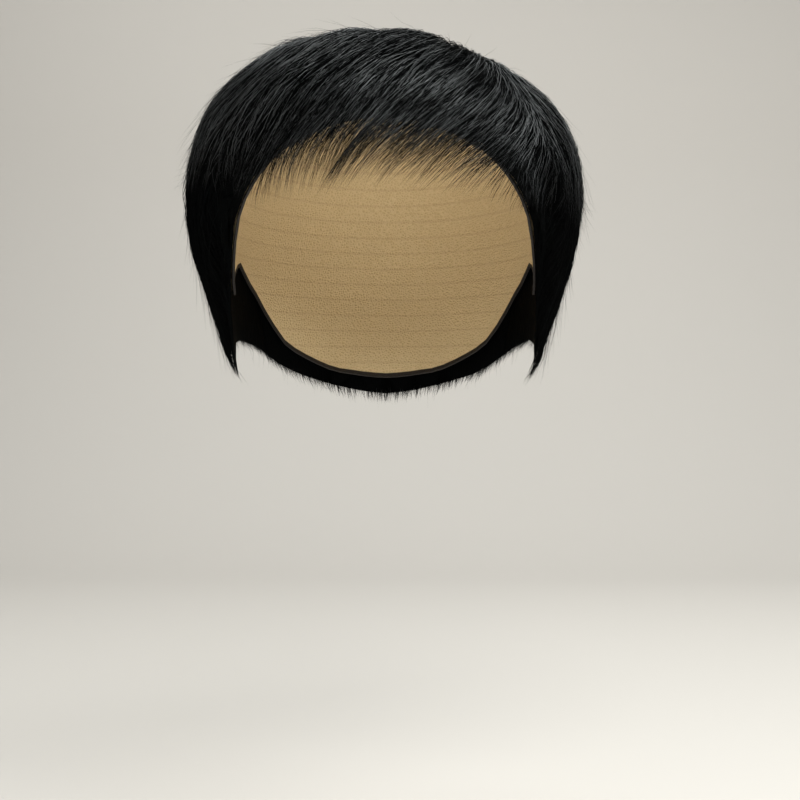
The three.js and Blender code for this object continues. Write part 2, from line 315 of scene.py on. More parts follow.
# %% Write down the edges
EDGE_ROWS = np.array([
    # azimuth, rim, hem, tips
    (0, 26, 18.8, 4),
    (14, 25, 17.3, 3),
    (24, 22.5, 15, 2),
    (34, 19.5, 12.3, 0.5),
    (42, 15.5, 9, -1),
    (48, 11.5, 6, -3),
    (54, 6.5, 1.5, -7),
    (60, 0, -4.5, -12),
    (65, -8, -14, -20),
    (70, -15, -25, -30),
    (76, -22, -37, -41),
    (80, -25, -47.5, -50.5),
    (84, -25, -43.5, -46.5),
    (90, -19, -39, -41.5),
    (104, -12, -37, -40),
    (120, -22, -38, -41),
    (136, -37, -43, -46),
    (158, -44, -47, -51),
    (180, -45, -49, -53),
])
RIM, HEM, TIPS = 1, 2, 3
FRONT_DROP = 1.2  # degrees from the front rim down to where the hair thins out
FRONT_ENDS = (54, 68)  # degrees of azimuth over which the front's edge passes into the hem


def edge_at(d, column):
    return np.interp(np.abs(azimuth_of(d)), EDGE_ROWS[:, 0], EDGE_ROWS[:, column])


def frontness(d):
    return 1 - smoothstep(np.abs(azimuth_of(d)), *FRONT_ENDS)


def dense_edge(d):
    front = frontness(d)
    return front * (edge_at(d, RIM) - FRONT_DROP) + (1 - front) * edge_at(d, HEM)


print("edges are given at", len(EDGE_ROWS), "azimuths")

# %% [markdown]
# ## The cap
# The cap is a thin knitted dome. A sphere is a good start: the part below the rim is deleted, the
# lowest ring is slid onto the rim, every point is pulled in to the solid cap, and Solidify gives the
# wall its thickness.

# %% Model the cap
CAP_SPHERE = {"segments": 72, "ring_count": 42, "radius": 0.1}
CAP_WALL = 0.0012
CAP_MERGE = 0.0002  # points that were slid together on the rim become one
CAP_SMOOTH = math.radians(40)
RIM_TAPE, TAPE_BLEND = 1.5, 0.3  # degrees above the rim


def make_cap():
    bpy.ops.mesh.primitive_uv_sphere_add(**CAP_SPHERE, location=MIDDLE)
    cap = bpy.context.object
    cap.name = "knitted_cap"
    bpy.ops.object.transform_apply(location=True, rotation=True, scale=True)
    bpy.ops.object.mode_set(mode="EDIT")
    bpy.ops.mesh.select_mode(type="FACE")
    bpy.ops.mesh.select_all(action="DESELECT")
    mesh = bmesh.from_edit_mesh(cap.data)
    for face in mesh.faces:
        ways = unit(np.array([v.co for v in face.verts]) - MIDDLE)
        face.select = bool(np.all(elevation_of(ways) < edge_at(ways, RIM)))
    bmesh.update_edit_mesh(cap.data)
    bpy.ops.mesh.delete(type="FACE")
    bpy.ops.object.mode_set(mode="OBJECT")
    points = np.empty(len(cap.data.vertices) * 3)
    cap.data.vertices.foreach_get("co", points)
    ways = unit(points.reshape(-1, 3) - MIDDLE)
    raised = np.maximum(elevation_of(ways), edge_at(ways, RIM))
    ways = direction(azimuth_of(ways), raised)
    cap.data.vertices.foreach_set("co", (MIDDLE + ways * read(cap_table, ways)[:, None]).ravel())
    above_rim = cap.data.attributes.new("above_rim", "FLOAT", "POINT")
    above_rim.data.foreach_set("value", raised - edge_at(ways, RIM))
    bpy.ops.object.mode_set(mode="EDIT")
    bpy.ops.mesh.select_all(action="SELECT")
    bpy.ops.mesh.remove_doubles(threshold=CAP_MERGE)
    bpy.ops.object.mode_set(mode="OBJECT")
    wall = cap.modifiers.new("wall", "SOLIDIFY")
    wall.thickness, wall.offset = CAP_WALL, -1
    bpy.ops.object.modifier_apply(modifier="wall")
    bpy.ops.object.shade_smooth_by_angle(angle=CAP_SMOOTH)
    return cap


cap = make_cap()
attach(cap, "root")
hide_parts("cap")
print("cap faces:", len(cap.data.polygons))

# %% [markdown]
# Inside, the net and the rows of stitches that hold the hair show. Both are small, so they are made in
# the material: a cell pattern for the net's threads and its holes, and bands along the height for the
# rows. The rim is bound with a dark tape, which an attribute marks: each point's height above the rim,
# in degrees.

# %% Knit the cap's material
HOLE_COLOUR, THREAD_COLOUR = (0.52, 0.40, 0.23, 1), (0.60, 0.47, 0.29, 1)
SEAM_COLOUR, TAPE_COLOUR = (0.40, 0.27, 0.17, 1), (0.02, 0.015, 0.012, 1)


def new_material(name):
    material = bpy.data.materials.new(name)
    material.use_nodes = True
    return material, material.node_tree.nodes, material.node_tree.links


def make_cap_material():
    material, made, links = new_material("beige_net")
    shader = made["Principled BSDF"]
    place = made.new("ShaderNodeTexCoord")
    net = made.new("ShaderNodeTexVoronoi")
    net.feature = "DISTANCE_TO_EDGE"
    net.inputs["Scale"].default_value = 640
    links.new(place.outputs["Object"], net.inputs["Vector"])
    thread = made.new("ShaderNodeMapRange")
    thread.inputs["From Max"].default_value = 0.28
    thread.inputs["To Min"].default_value = 1
    thread.inputs["To Max"].default_value = 0
    links.new(net.outputs["Distance"], thread.inputs["Value"])
    rows = made.new("ShaderNodeTexWave")
    rows.bands_direction = "Z"
    rows.inputs["Scale"].default_value = 34
    rows.inputs["Distortion"].default_value = 0.4
    links.new(place.outputs["Object"], rows.inputs["Vector"])
    stitched = made.new("ShaderNodeMapRange")
    stitched.inputs["From Min"].default_value = 0.9
    stitched.inputs["To Max"].default_value = 0.25
    links.new(rows.outputs["Fac"], stitched.inputs["Value"])
    tint = made.new("ShaderNodeMix")
    tint.data_type = "RGBA"
    tint.inputs["A"].default_value = HOLE_COLOUR
    tint.inputs["B"].default_value = THREAD_COLOUR
    links.new(thread.outputs["Result"], tint.inputs["Factor"])
    seam = made.new("ShaderNodeMix")
    seam.data_type = "RGBA"
    seam.inputs["B"].default_value = SEAM_COLOUR
    links.new(stitched.outputs["Result"], seam.inputs["Factor"])
    links.new(tint.outputs["Result"], seam.inputs["A"])
    rim = made.new("ShaderNodeAttribute")
    rim.attribute_name = "above_rim"
    tape = made.new("ShaderNodeMapRange")
    tape.inputs["From Min"].default_value = RIM_TAPE - TAPE_BLEND
    tape.inputs["From Max"].default_value = RIM_TAPE
    links.new(rim.outputs["Fac"], tape.inputs["Value"])
    bound = made.new("ShaderNodeMix")
    bound.data_type = "RGBA"
    bound.inputs["A"].default_value = TAPE_COLOUR
    links.new(tape.outputs["Result"], bound.inputs["Factor"])
    links.new(seam.outputs["Result"], bound.inputs["B"])
    links.new(bound.outputs["Result"], shader.inputs["Base Color"])
    height = made.new("ShaderNodeMath")
    height.operation = "ADD"
    links.new(thread.outputs["Result"], height.inputs[0])
    links.new(stitched.outputs["Result"], height.inputs[1])
    bump = made.new("ShaderNodeBump")
    bump.inputs["Strength"].default_value = 0.5
    bump.inputs["Distance"].default_value = 0.0004
    links.new(height.outputs["Value"], bump.inputs["Height"])
    links.new(bump.outputs["Normal"], shader.inputs["Normal"])
    shader.inputs["Roughness"].default_value = 0.85
    return material


cap.data.materials.append(make_cap_material())
print("cap material nodes:", len(cap.data.materials[0].node_tree.nodes))

# %% [markdown]
# ## The comb
# Hair lies the way it was combed: away from the parting, forwards on top, and straight down at the
# bottom. The parting runs forwards from the whorl at the crown, and a looser split goes on from it down
# to the temple. Left of it the hair turns down at once, and right of it the hair is swept across the
# front. The comb gives a direction along the cap for any place on it. Slow waves turn it a little,
# because real hair never lies quite parallel.

# %% Comb every direction
WHORL, PARTING_FRONT, LEFT_TEMPLE = direction(153, 59), direction(50, 51), direction(57, 18)
LEFTWARDS = direction(140, 0)  # where the hair hangs straight down soonest
SPLIT_WIDTH = 0.49  # within this share of the radius the hair turns from one side to the other
FALL, FALL_LOWEST = 0.31, 0.4  # how strongly the hair falls everywhere, and what is added low down
FALL_LEFT, FALL_LOW_LEFT = 0.83, 3.9  # what is added on the left, and low on the left
FALL_RIGHT_FRONT = 0.6  # what is added below the rim on the right of the front
FORWARDS = 1.05  # how strongly the top is combed forwards
CALM_LEFT, CALM_LOWEST = 0.8, 0.7  # how much of the turn away from the parting is lost there
LOW, LOWEST, TOP = (-0.5, 0.75), (-0.3, 0.3), (0.64, 0.78)  # heights between which these set in
LEFT, CALM = (0.22, 0.59), (-0.1, 0.5)  # distances leftwards, the same way
BELOW_RIM, RIGHT_FRONT = (0, 8), (5, 35)  # degrees, the same way
RANDOM_SEED = 20
WAVE_SIZES = np.radians((1.5, 1.5, 1.2, 1.2, 1.2))
WAVE_COUNTS = np.array((4, 7, 11, 17, 26))
rng = np.random.default_rng(RANDOM_SEED)
wave_ways = unit(rng.normal(size=(len(WAVE_COUNTS), 3)))
wave_starts = rng.uniform(0, 2 * np.pi, len(WAVE_COUNTS))


def nearest_between(d, start, end):
    along = end - start
    share = np.clip(dot(d - start, along) / dot(along, along), 0, 1)
    return unit(start + share * along)


def parting_offset(d):
    to_parting = d - nearest_between(d, WHORL, PARTING_FRONT)
    to_split = d - nearest_between(d, PARTING_FRONT, LEFT_TEMPLE)
    return np.where(dot(to_parting, to_parting) < dot(to_split, to_split), to_parting, to_split)


def combed(d):
    away = parting_offset(d)
    spread = np.linalg.norm(away, axis=-1)
    height, leftness = d[..., 2], d @ LEFTWARDS
    low = 1 - smoothstep(height, *LOW)
    lowest = 1 - smoothstep(height, *LOWEST)
    left = smoothstep(leftness, *LEFT)
    below_rim = smoothstep(edge_at(d, RIM) - elevation_of(d), *BELOW_RIM)
    hang = FALL_RIGHT_FRONT * below_rim * smoothstep(-azimuth_of(d), *RIGHT_FRONT)
    fall = FALL + FALL_LOWEST * lowest + left * (FALL_LEFT + FALL_LOW_LEFT * low) + hang
    ahead = FORWARDS * smoothstep(height, *TOP) * (1 - left)
    calm = 1 - CALM_LEFT * smoothstep(leftness, *CALM)
    pull = (1 - CALM_LOWEST * lowest) * calm / np.maximum(spread, SPLIT_WIDTH)
    way = away * pull[..., None] + DOWN * fall[..., None] + AHEAD * ahead[..., None]
    return unit(way - d * dot(way, d))


def wave_at(d):
    phases = d @ wave_ways.T * WAVE_COUNTS + wave_starts
    return np.sin(phases) @ WAVE_SIZES


def turned(way, d, angle):
    return way * np.cos(angle)[..., None] + np.cross(d, way) * np.sin(angle)[..., None]


print("combed at the right temple:", combed(direction(-50, 20)).round(2))

# %% [markdown]
# ## Growing strands
# Each strand walks along the comb in small steps until it has its length or meets the edge where it was
# cut. Its course is then drawn again with a few points and lifted from the scalp. Hair lies like
# thatch: a strand starts just under the mat's surface, comes up soon and lies over the roots of those
# below it. Last, it is gathered towards a guide strand, because hair falls in locks.

# %% Walk along the comb
WALK_STEPS = 24
HEM_ROLL, FRONT_ROLL = 8, 18  # degrees above the edge in which the hair closes in on the cap
ROLL_START = -1  # degrees from the edge to where the hair is thinnest
HEM_THICKNESS, FRONT_THICKNESS, TEMPLE_THICKNESS = 0.003, 0.006, 0.008
LEFT_TEMPLE_FROM = (26, 46)  # degrees of azimuth over which the front thickens to the left temple
PARTING_DIP = 0.08  # of the hair's thickness
MAT_SHARE, MAT_AT_PARTING = 0.82, 0.86  # height of the mat, as a share of the hair's thickness
ROOT_DEPTH = 0.05  # of that thickness, from the mat down to where a strand starts
RISE_POWER, LIFT_POWER = 3, 4  # a strand comes up soon, and lifts off late
PARTING_WIDTH = 0.12  # as a share of the radius
WEAVE = 0.00045  # strands pass over and under each other by about this much
WEAVE_GROWTH = 3  # the weave is full after a third of the strand
GATHER_REACH = 0.006  # a guide draws in strands that run about this close to it
GATHER_POWER = 1.4  # above 1, it draws them in mostly near their tips


def from_parting(d):
    return np.linalg.norm(d - nearest_between(d, WHORL, PARTING_FRONT), axis=-1)


def crown(d):
    scalp = read(scalp_table, d)
    full = read(crown_table, d) - scalp
    front = frontness(d)
    roll_end = HEM_ROLL + (FRONT_ROLL - HEM_ROLL) * front
    roll = smoothstep(elevation_of(d) - dense_edge(d), ROLL_START, roll_end)
    dip = 1 - PARTING_DIP * (1 - smoothstep(from_parting(d), 0.0, PARTING_WIDTH))
    temple = smoothstep(azimuth_of(d), *LEFT_TEMPLE_FROM)
    thickness = FRONT_THICKNESS + (TEMPLE_THICKNESS - FRONT_THICKNESS) * temple
    least = np.minimum(HEM_THICKNESS + (thickness - HEM_THICKNESS) * front, full)
    return scalp + least + (full - least) * roll * dip


def mat_share(d):
    beside = smoothstep(from_parting(d), 0.0, PARTING_WIDTH)
    return MAT_AT_PARTING + (MAT_SHARE - MAT_AT_PARTING) * beside


def walk(root, length, tip_level, stray):
    path = np.empty((WALK_STEPS + 1, *root.shape))
    path[0] = root
    reached = np.full(len(root), float(WALK_STEPS))
    for step in range(WALK_STEPS):
        d = path[step]
        way = turned(combed(d), d, wave_at(d) + stray)
        stride = length / WALK_STEPS / read(crown_table, d)
        path[step + 1] = unit(d + way * stride[:, None])
        ended = elevation_of(path[step + 1]) < tip_level(path[step + 1])
        reached = np.where(ended & (reached == WALK_STEPS), step, reached)
    return path, reached


def redraw(path, reached, points):
    place = np.linspace(0, 1, points)[:, None] * reached
    before = np.minimum(place.astype(int), WALK_STEPS - 1)
    share = (place - before)[..., None]
    strand = np.arange(path.shape[1])
    return unit(path[before, strand] * (1 - share) + path[before + 1, strand] * share)


def lay(course, layer, lift):
    share = np.linspace(0, 1, len(course))[:, None]
    weave = rng.normal(0, WEAVE, course.shape[:2]) * np.minimum(share * WEAVE_GROWTH, 1)
    scalp, top = read(scalp_table, course), crown(course)
    rise = 1 - (1 - share) ** RISE_POWER
    start = mat_share(course[0]) - ROOT_DEPTH
    height = start + (layer - start) * rise
    reach = scalp + (top - scalp) * height + weave + lift * share**LIFT_POWER
    return MIDDLE + course * reach[..., None]


def gather(strands, guides, strand_roots, guide_roots, strength):
    nearest = np.argmax(strand_roots @ guide_roots.T, axis=1)
    share = np.linspace(0, 1, len(strands))[:, None]
    apart = guides[:, nearest] - strands
    near = np.exp(-((np.linalg.norm(apart, axis=-1) / GATHER_REACH) ** 2))
    return strands + apart * (strength * share**GATHER_POWER * near)[..., None]


crown_reach = float(crown(direction(-60, 60)))
print("hair over the crown reaches", round(crown_reach * 1000), "mm from the middle")

# %% [markdown]
# ## Where the tips end
# The lower sections end at the hem. The top layer is cut shorter: its tips lie over the sides in a
# loose band, higher on the wearer's right than on the left. In front most of its strands end near the
# dense edge, a little raggedly and more so at the temples. A share of wispy strands ends anywhere
# between that edge and the longest tips, which makes a thinned fringe.

# %% Set the bands of tips
FRINGE_RAGGED, TEMPLE_RAGGED = 0.15, 0.42  # of the way from the dense edge to the longest tips
RAGGED_ABOVE = 0.09  # of the same way, by which ragged tips start above the dense edge
RAGGED_TEMPLE = (32, 48)  # degrees of azimuth over which the tips become more ragged
FRONT_TIPS_END = (44, 60)  # degrees of azimuth over which the front's tips pass into the sides' band
LONGEST_DROP = 2  # degrees by which the top's longest tips go below those of the edge rows
LAYER_BAND = np.array([
    # azimuth, upper, lower
    (-180, -20, -45),
    (-150, -5, -30),
    (-122, 14, 2),
    (-90, 18, 5),
    (-55, 14, 4),
    (-42, -20, -30),
    (42, -20, -30),
    (60, 4, -6),
    (90, 2, -9),
    (122, -2, -14),
    (150, -8, -30),
    (180, -20, -45),
])


def tips_of_top(passed, wispy):
    def level(d):
        azimuth = azimuth_of(d)
        temple = smoothstep(np.abs(azimuth), *RAGGED_TEMPLE)
        ragged = FRINGE_RAGGED + (TEMPLE_RAGGED - FRINGE_RAGGED) * temple
        at_front = np.where(wispy, 1 - passed, ragged * passed - RAGGED_ABOVE)
        band_top = np.interp(azimuth, LAYER_BAND[:, 0], LAYER_BAND[:, 1])
        band_bottom = np.interp(azimuth, LAYER_BAND[:, 0], LAYER_BAND[:, 2])
        upper = np.maximum(dense_edge(d), band_top)
        lower = np.maximum(edge_at(d, TIPS) - LONGEST_DROP, band_bottom)
        front = 1 - smoothstep(np.abs(azimuth), *FRONT_TIPS_END)
        return upper + (lower - upper) * (at_front * front + passed * (1 - front))

    return level


def tips_of_hem(passed, _):
    def level(d):
        return edge_at(d, HEM) + (edge_at(d, TIPS) - edge_at(d, HEM)) * passed

    return level


print("top layer ends between", LAYER_BAND[3, 1], "and", LAYER_BAND[3, 2], "degrees on the right")

# %% [markdown]
# ## One section of strands
# A table row says how a section is grown. Lengths are in metres and are drawn at random between the two
# that are given, as a layered cut leaves them. The roots of the sides are raised by up to the given
# degrees, so that they start under the layer above. Thinning is a power: the higher it is, the more
# strands end early. Glossy and wispy are shares of the strands. Each section has two sizes of guides:
# broad locks, and small wisps that follow the locks.

# %% Grow one section
TOP_LAYER = {
    "strands": 5600, "points": 7, "tips": tips_of_top, "raise": 0,
    "width": 0.00033, "gather": 0.08, "glossy": 0.26,
}
SIDE = {
    "strands": 3000, "points": 6, "tips": tips_of_hem, "raise": 20, "lengths": (0.040, 0.085),
    "thinning": 2.0, "width": 0.00040, "gather": 0.08, "wisps": 420, "wispy": 0.0,
}
BACK = {
    "strands": 5600, "points": 7, "tips": tips_of_hem, "raise": 0, "lengths": (0.045, 0.110),
    "thinning": 2.0, "width": 0.00038, "gather": 0.08, "wisps": 900, "wispy": 0.0,
}
SECTIONS = [
    TOP_LAYER | {
        "node": "top_hair", "lengths": (0.045, 0.120), "thinning": 2.2, "wisps": 1100, "wispy": 0.22,
    },
    TOP_LAYER | {
        "node": "fringe", "lengths": (0.050, 0.115), "thinning": 2.2, "wisps": 900, "wispy": 0.55,
        "gather": 0.1,
    },
    TOP_LAYER | {
        "node": "parted_hair", "lengths": (0.035, 0.095), "thinning": 1.5, "wisps": 1100, "wispy": 0.22,
    },
    SIDE | {"node": "left_side_hair", "glossy": 0.3},
    SIDE | {"node": "right_side_hair", "glossy": 0.25},
    BACK | {"node": "back_hair", "glossy": 0.3},
]
LOCKS_PER_SECTION = 70
ROOT_BATCH = 40000  # directions tried at a time
STRAY = math.radians(5)  # single strands turn away from the comb by about this much
SHORTEST_STRAND = 0.007
LAYER_BOTTOM, LAYER_DEPTH, GLOSSY_RISE = 0.87, 0.12, 0.04  # shares of the hair's thickness
FLYAWAY_SHARE = 0.08
FLYAWAY_LIFT, LYING_LIFT, LIFT_LIMITS = 0.0035, 0.0006, (-0.001, 0.009)
WISP_GATHER = 0.08  # how far wisps follow the locks
GATHER_SPREAD, LOOSE_GATHER = (0.5, 1.0), 0.3  # shares of a section's gather
WIDTH_SPREAD = (0.7, 1.15)  # shares of a section's width
FLYAWAY_WIDTH, WISPY_WIDTH, GLOSSY_WIDTH = 0.45, 0.6, 1.15  # the same
DULL_RANKS, GLOSSY_RANKS = (0.0, 0.05), (0.35, 1.0)
DULL_LEVEL, GLOSSY_LEVEL = -0.085, -0.052  # short hair low on the sides doesn't shine
BACK_FROM = (0.01, 0.05)  # from the first to the second, the hair comes to shine all the way down
LEVEL_SLANT = 0.05  # the shine goes further down on the wearer's left


def section_roots(node, count, raised):
    kept = np.empty((0, 3))
    while len(kept) < count:
        d = unit(rng.normal(size=(ROOT_BATCH, 3)))
        column = np.rint((azimuth_of(d) + 180) / AZIMUTH_STEP).astype(int)
        row = np.rint((elevation_of(d) - LOWEST_ELEVATION) / ELEVATION_STEP).astype(int)
        inside = (row >= 0) & (hair_owner[column, np.maximum(row, 0)] == node)
        inside &= elevation_of(d) > edge_at(d, RIM)
        kept = np.concatenate([kept, d[inside]])
    kept = kept[:count]
    return direction(azimuth_of(kept), elevation_of(kept) + raised * rng.random(count))


def grow(recipe, count, flyaway_share):
    root = section_roots(recipe["node"], count, recipe["raise"])
    length = rng.uniform(*recipe["lengths"], count)
    wispy = rng.random(count) < recipe["wispy"]
    passed = rng.random(count) ** np.where(wispy, 1, recipe["thinning"])
    tips = recipe["tips"](passed, wispy)
    path, reached = walk(root, length, tips, rng.normal(0, STRAY, count))
    long_enough = length * reached / WALK_STEPS > SHORTEST_STRAND
    root, wispy = root[long_enough], wispy[long_enough]
    path, reached = path[:, long_enough], reached[long_enough]
    count = len(root)
    glossy = rng.random(count) < recipe["glossy"]
    layer = LAYER_BOTTOM + LAYER_DEPTH * rng.random(count) + np.where(glossy, GLOSSY_RISE, 0)
    flying = rng.random(count) < flyaway_share
    lift = np.where(flying, rng.exponential(FLYAWAY_LIFT, count), rng.normal(0, LYING_LIFT, count))
    strands = lay(redraw(path, reached, recipe["points"]), layer, np.clip(lift, *LIFT_LIMITS))
    return root, strands, glossy, flying, wispy


def grow_section(recipe):
    lock_roots, locks, *_ = grow(recipe, LOCKS_PER_SECTION, 0)
    wisp_roots, wisps, *_ = grow(recipe, recipe["wisps"], 0)
    wisps = gather(wisps, locks, wisp_roots, lock_roots, np.full(len(wisp_roots), WISP_GATHER))
    roots, strands, glossy, flying, wispy = grow(recipe, recipe["strands"], FLYAWAY_SHARE)
    count = len(roots)
    looseness = np.where(flying | wispy, LOOSE_GATHER, 1)
    strength = recipe["gather"] * rng.uniform(*GATHER_SPREAD, count) * looseness
    lying_width = np.where(wispy, WISPY_WIDTH, 1) * np.where(glossy, GLOSSY_WIDTH, 1)
    fineness = np.where(flying, FLYAWAY_WIDTH, lying_width)
    width = recipe["width"] * rng.uniform(*WIDTH_SPREAD, count) * fineness
    place = strands[len(strands) * 2 // 3]
    lit = smoothstep(place[:, 2] + LEVEL_SLANT * place[:, 0], DULL_LEVEL, GLOSSY_LEVEL)
    lit = np.maximum(lit, smoothstep(place[:, 1], *BACK_FROM))
    dull, shining = rng.uniform(*DULL_RANKS, count), rng.uniform(*GLOSSY_RANKS, count)
    rank = dull + (shining - dull) * np.where(glossy & ~flying, lit, 0)
    return gather(strands, wisps, roots, wisp_roots, strength), width, rank


print("sections to grow:", len(SECTIONS))

# %% [markdown]
# ## From courses to a mesh
# A strand is a three-sided tube that tapers to a point: the fewest faces that still look round with
# smooth shading. All strands of a section go into one mesh at once, from arrays. Its map, which the
# colours read, gives each strand a narrow column, with the root at the bottom and the tip at the top.
# Strands of one rank share a column.

# %% Build the tubes
TUBE_SIDES = 3
TAPER, TAPER_POWER = 0.8, 3  # the share of its width that a strand loses before its point
MAP_COLUMNS = 256
COLUMN_START, COLUMN_PART = 0.1, 0.8  # the part of a column that is used, across
ROOT_START, LENGTH_PART = 0.01, 0.98  # and along


def strand_rings(strands, width):
    points = len(strands)
    share = np.linspace(0, 1, points)[:, None, None]
    along = unit(np.gradient(strands, axis=0))
    across = unit(np.cross(along, strands - MIDDLE))
    outwards = np.cross(across, along)
    radius = width[:, None] / 2 * (1 - TAPER * share**TAPER_POWER)
    rings = []
    for side in range(TUBE_SIDES):
        angle = math.radians(90 + 360 * side / TUBE_SIDES)
        rings.append(strands + radius * (across * math.cos(angle) + outwards * math.sin(angle)))
    return np.stack(rings, axis=1)[:-1]


def strand_corners(points):
    corners, sizes, places = [], [], []
    last = points - 2
    for ring in range(last):
        for side in range(TUBE_SIDES):
            beside = (side + 1) % TUBE_SIDES
            a, b = ring * TUBE_SIDES + side, ring * TUBE_SIDES + beside
            corners += [a, b, b + TUBE_SIDES, a + TUBE_SIDES]
            places += [(side, ring), (side + 1, ring), (side + 1, ring + 1), (side, ring + 1)]
            sizes.append(4)
    tip = (points - 1) * TUBE_SIDES
    for side in range(TUBE_SIDES):
        a, b = last * TUBE_SIDES + side, last * TUBE_SIDES + (side + 1) % TUBE_SIDES
        corners += [a, b, tip]
        places += [(side, last), (side + 1, last), (side + 0.5, last + 1)]
        sizes.append(3)
    corners += [2, 1, 0]
    places += [(2, 0), (1, 0), (0, 0.2)]
    sizes.append(3)
    return np.array(corners), np.array(sizes), np.array(places)


def strand_mesh(name, strands, width, rank):
    points, count = strands.shape[:2]
    rings = strand_rings(strands, width)
    ring_points = rings.transpose(2, 0, 1, 3).reshape(count, -1, 3)
    places = np.concatenate([ring_points, strands[-1][:, None]], axis=1)
    corners, sizes, spots = strand_corners(points)
    all_corners = (corners + np.arange(count)[:, None] * places.shape[1]).ravel()
    all_sizes = np.tile(sizes, count)
    mesh = bpy.data.meshes.new(name)
    mesh.vertices.add(places.shape[0] * places.shape[1])
    mesh.vertices.foreach_set("co", places.ravel())
    mesh.loops.add(len(all_corners))
    mesh.loops.foreach_set("vertex_index", all_corners)
    mesh.polygons.add(len(all_sizes))
    mesh.polygons.foreach_set("loop_start", np.concatenate([[0], np.cumsum(all_sizes)[:-1]]))
    mesh.polygons.foreach_set("use_smooth", np.ones(len(all_sizes), dtype=bool))
    column = (rank * (MAP_COLUMNS - 1)).astype(int)[:, None]
    u = (column + COLUMN_START + COLUMN_PART * spots[:, 0] / TUBE_SIDES) / MAP_COLUMNS
    v = np.tile(ROOT_START + LENGTH_PART * spots[:, 1] / (points - 1), (count, 1))
    mesh.uv_layers.new(name="OFBake").data.foreach_set("uv", np.stack([u, v], axis=-1).ravel())
    mesh.update(calc_edges=True)
    mesh.validate()
    return mesh


print("faces on one strand of the top:", len(strand_corners(TOP_LAYER["points"])[1]))

# %% [markdown]
# ## The colour of black hair
# Black hair is a very dark brown whose shine takes the colour of the light. Strands differ: some are
# cooler, some warmer, and only the smooth ones shine, which is why single strands stand out against the
# dark. A strand's column in the map is its rank: the further right, the more it shines. Hair low on the
# sides and in front keeps to the dull ranks, and the back shines all the way down. One node group turns
# the rank and the way along a strand into a colour and a shine, so that strands and mat match.

# %% Build the shared hair group
HAIR_TONES = [
    (0.0, (0.0002, 0.0003, 0.0003, 1)),
    (0.5, (0.0004, 0.0006, 0.0006, 1)),
    (0.7, (0.0009, 0.0009, 0.0013, 1)),
    (0.85, (0.0009, 0.0016, 0.0014, 1)),
    (1.0, (0.0030, 0.0028, 0.0026, 1)),
]
# Painted sheen: the tips' colour is a little lighter, standing in for the light that thin ends catch.
TIP_SHEEN_COLOUR = (0.0030, 0.0027, 0.0025, 1)


def make_hair_group():
    group = bpy.data.node_groups.new("hair_fibre", "ShaderNodeTree")
    sockets = group.interface
    sockets.new_socket("Strand", in_out="INPUT", socket_type="NodeSocketFloat")
    sockets.new_socket("Along", in_out="INPUT", socket_type="NodeSocketFloat")
    sockets.new_socket("Colour", in_out="OUTPUT", socket_type="NodeSocketColor")
    sockets.new_socket("Shine", in_out="OUTPUT", socket_type="NodeSocketFloat")
    made, links = group.nodes, group.links
    entry, leave = made.new("NodeGroupInput"), made.new("NodeGroupOutput")
    tones = made.new("ShaderNodeValToRGB")
    tones.color_ramp.interpolation = "LINEAR"
    while len(tones.color_ramp.elements) < len(HAIR_TONES):
        tones.color_ramp.elements.new(0.5)
    for element, (place, colour) in zip(tones.color_ramp.elements, HAIR_TONES):
        element.position = place
        element.color = colour
    chance = made.new("ShaderNodeTexWhiteNoise")
    chance.noise_dimensions = "1D"
    links.new(entry.outputs["Strand"], chance.inputs["W"])
    links.new(chance.outputs["Value"], tones.inputs["Fac"])
    # From halfway along, the colour is mixed a little towards the lighter tip colour: painted sheen on
    # the ends.
    tip = made.new("ShaderNodeMapRange")
    tip.inputs["From Min"].default_value = 0.55
    tip.inputs["To Max"].default_value = 0.3
    links.new(entry.outputs["Along"], tip.inputs["Value"])
    tip_sheen = made.new("ShaderNodeMix")
    tip_sheen.data_type = "RGBA"
    tip_sheen.inputs["B"].default_value = TIP_SHEEN_COLOUR
    links.new(tip.outputs["Result"], tip_sheen.inputs["Factor"])
    links.new(tones.outputs["Color"], tip_sheen.inputs["A"])
    links.new(tip_sheen.outputs["Result"], leave.inputs["Colour"])
    fade = made.new("ShaderNodeMapRange")
    fade.inputs["From Min"].default_value = 0.75
    fade.inputs["To Min"].default_value = 1
    fade.inputs["To Max"].default_value = 0.5
    links.new(entry.outputs["Along"], fade.inputs["Value"])
    shine = made.new("ShaderNodeMath")
    shine.operation = "MULTIPLY"
    links.new(entry.outputs["Strand"], shine.inputs[0])
    links.new(fade.outputs["Result"], shine.inputs[1])
    links.new(shine.outputs["Value"], leave.inputs["Shine"])
    return group


hair_group = make_hair_group()
print("hair group nodes:", len(hair_group.nodes))

# %% Make the strands' material


def make_strand_material():
    material, made, links = new_material("black_strands")
    shader = made["Principled BSDF"]
    spot = made.new("ShaderNodeUVMap")
    spot.uv_map = "OFBake"
    parts = made.new("ShaderNodeSeparateXYZ")
    links.new(spot.outputs["UV"], parts.inputs["Vector"])
    rank = made.new("ShaderNodeMath")
    rank.operation = "SNAP"
    rank.inputs[1].default_value = 1 / MAP_COLUMNS
    links.new(parts.outputs["X"], rank.inputs[0])
    fibre = made.new("ShaderNodeGroup")
    fibre.node_tree = hair_group
    links.new(rank.outputs["Value"], fibre.inputs["Strand"])
    links.new(parts.outputs["Y"], fibre.inputs["Along"])
    links.new(fibre.outputs["Colour"], shader.inputs["Base Color"])
    links.new(fibre.outputs["Shine"], shader.inputs["Coat Weight"])
    shader.inputs["Coat Roughness"].default_value = 0.44
    shader.inputs["Coat IOR"].default_value = 2.2
    shader.inputs["Roughness"].default_value = 0.6
    shader.inputs["Specular IOR Level"].default_value = 0.03
    return material


strand_material = make_strand_material()
print("strand material nodes:", len(strand_material.node_tree.nodes))

# %% [markdown]
# ## The mat under the strands
# Between the cap and the combed surface lie the roots and the short hairs, so dense that no light comes
# through. Each section's solid, copied and drawn in towards the scalp, makes that mat. Points of locks
# that hang below the hem are drawn up to it, because only loose strands hang there.

# %% Make the mat's material


